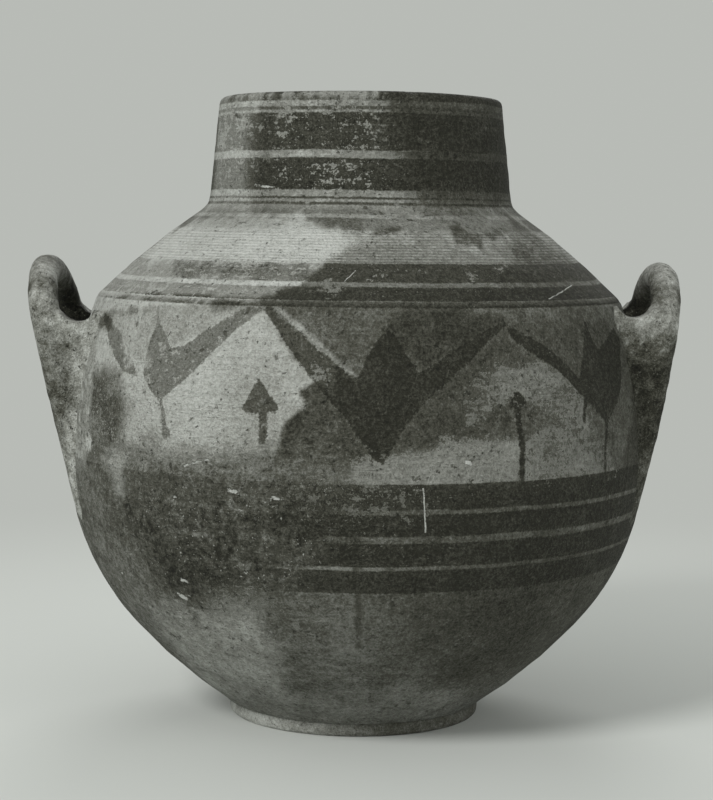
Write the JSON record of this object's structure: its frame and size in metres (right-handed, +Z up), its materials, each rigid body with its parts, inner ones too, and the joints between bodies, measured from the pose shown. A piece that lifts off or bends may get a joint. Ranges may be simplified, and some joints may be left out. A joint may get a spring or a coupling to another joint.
{
  "type": "storage jar",
  "caption": "Large painted ceramic storage jar with a wide neck, a sloping shoulder, a round belly, a low foot ring and two upright loop handles.",
  "frame": {"origin": "middle of the foot ring's lower face, on the surface that the jar stands on", "axes": "+Z up along the jar's axis, +X through the right handle, -Y towards the side that the picture shows"},
  "size_m": [0.4489, 0.404, 0.43],
  "materials": {
    "painted_clay": "unglazed wheel-made clay with painted bands, worn and stained",
    "bare_clay": "unglazed clay, wiped smooth",
    "handle_clay": "unglazed hand-rolled clay with fine pits and stains"
  },
  "bodies": {
    "root": {"foot_ring": "bare_clay", "base_floor": "bare_clay", "lower_bowl": "painted_clay", "belly_wall": "painted_clay", "shoulder": "painted_clay", "neck": "painted_clay", "rim_lip": "painted_clay", "handle_left": "handle_clay", "handle_right": "handle_clay", "handle_root_left_front": "handle_clay", "handle_root_left_rear": "handle_clay", "handle_root_right_front": "handle_clay", "handle_root_right_rear": "handle_clay"}
  },
  "joints": []
}
